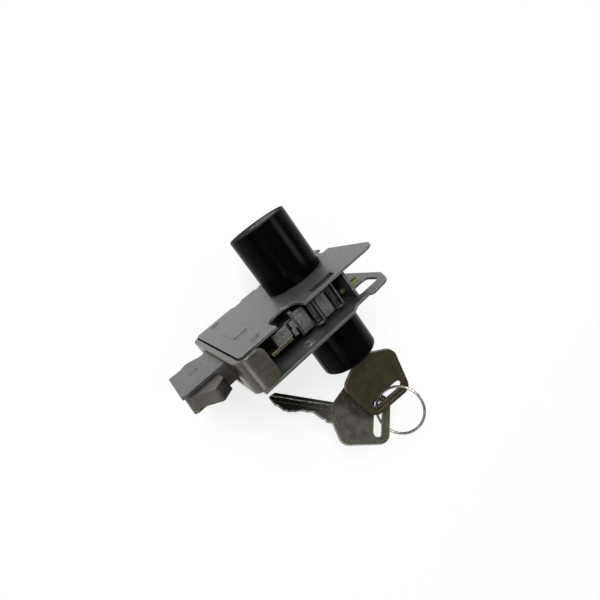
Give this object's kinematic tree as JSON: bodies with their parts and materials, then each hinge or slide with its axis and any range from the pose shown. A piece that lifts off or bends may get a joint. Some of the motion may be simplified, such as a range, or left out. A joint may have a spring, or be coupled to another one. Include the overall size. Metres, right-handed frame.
{
  "type": "sliding door hook lock with key cylinders",
  "caption": "Sliding-door case lock with a folding hook bolt, a round key cylinder on each side, a key in one of them and a spare key on a ring.",
  "frame": {"origin": "on the axis of the cylinders, in the outer face of the cover plate, where the first cylinder stands", "axes": "+Y along the axis of the first cylinder, out of the cover plate; -X towards the forend, the way the bolt is thrown; +Z out of the open long side of the case, which is up when the lock is fitted with its forend upright"},
  "size_m": [0.0826, 0.1127, 0.0702],
  "materials": {
    "zinc_plate": "zinc-plated sheet, satin, slightly streaked",
    "bracket_steel": "plated sheet, dull and darker",
    "forend_steel": "worn plated steel, brownish",
    "sintered": "sintered iron, fine grain",
    "post_brass": "dull brass plating",
    "pin_steel": "turned steel, satin",
    "black_gloss": "gloss black",
    "cylinder_core": "dark plated, satin",
    "plug_brass": "nickel-plated brass, dull",
    "pin_brass": "turned brass",
    "spring_steel": "bright wire",
    "cheek_steel": "plated sheet, satin",
    "yellow_zinc": "yellow-passivated zinc plating, satin",
    "claw_steel": "plated steel, brownish, worn",
    "key_nickel": "nickel-plated brass, brownish",
    "key_dark": "nickel-plated brass, dark",
    "ring_steel": "bright wire"
  },
  "bodies": {
    "case": {"cover_plate": "zinc_plate", "base_plate": "zinc_plate", "forend": "forend_steel", "guide_bracket": "bracket_steel", "guide_block": "sintered", "case_spacers": "post_brass", "stop_pin": "post_brass", "guide_pin": "pin_steel", "sleeve_a": "black_gloss", "sleeve_b": "black_gloss", "core_a": "cylinder_core", "core_b": "cylinder_core", "driver_pins_a": "pin_brass", "driver_pins_b": "pin_brass", "pin_springs_a": "spring_steel", "pin_springs_b": "spring_steel", "retaining_ring_a": "pin_steel", "retaining_ring_b": "pin_steel"},
    "outer_plug": {"plug_b": "plug_brass", "bottom_pins_b": "pin_brass", "cam_pinion": "sintered"},
    "inner_plug": {"plug_a": "plug_brass", "bottom_pins_a": "pin_brass"},
    "bolt": {"bolt_top_cheek": "cheek_steel", "bolt_bottom_cheek": "yellow_zinc", "carriage": "sintered", "carriage_end_block": "sintered", "carriage_end_plate": "bracket_steel", "carriage_tie_pin": "pin_steel", "step_block": "sintered", "bolt_rivets": "pin_steel", "claw_pivot": "pin_steel"},
    "hook": {"claw": "claw_steel"},
    "key": {"key_in_lock": "key_nickel"},
    "ring": {"key_ring": "ring_steel"},
    "spare": {"spare_key": "key_dark"}
  },
  "joints": [
    {"name": "outer_plug_turn", "type": "hinge", "parent": "case", "child": "outer_plug", "pos_m": [0.0032, -0.027, 0], "axis": [0, -1, 0], "range_deg": [0, 165]},
    {"name": "inner_plug_turn", "type": "hinge", "parent": "case", "child": "inner_plug", "pos_m": [0.0032, 0.012, 0], "axis": [0, -1, 0], "range_deg": [-105, 0]},
    {"name": "bolt_throw", "type": "slide", "parent": "case", "child": "bolt", "axis": [1, 0, 0], "range_m": [0, 0.01728]},
    {"name": "hook_swing", "type": "hinge", "parent": "bolt", "child": "hook", "pos_m": [-0.03, -0.0064, 0.008], "axis": [0, -1, 0], "range_deg": [0, 22]},
    {"name": "key_slide", "type": "slide", "parent": "outer_plug", "child": "key", "axis": [0, -1, 0], "range_m": [0, 0.03]},
    {"name": "ring_swing", "type": "hinge", "parent": "key", "child": "ring", "pos_m": [0.0032, -0.0707, 0], "axis": [0.9869, 0, 0.1616], "range_deg": [-5, 28]},
    {"name": "spare_round_ring", "type": "hinge", "parent": "ring", "child": "spare", "pos_m": [0.00335, -0.07655, 0.00216], "axis": [-0.5539, 0.3873, 0.7371], "range_deg": [0, 60]}
  ],
  "couplings": [
    {"joint": "bolt_throw", "follows": "outer_plug_turn", "m_per_rad": 0.006},
    {"joint": "hook_swing", "follows": "outer_plug_turn", "ratio": 0.13333}
  ]
}
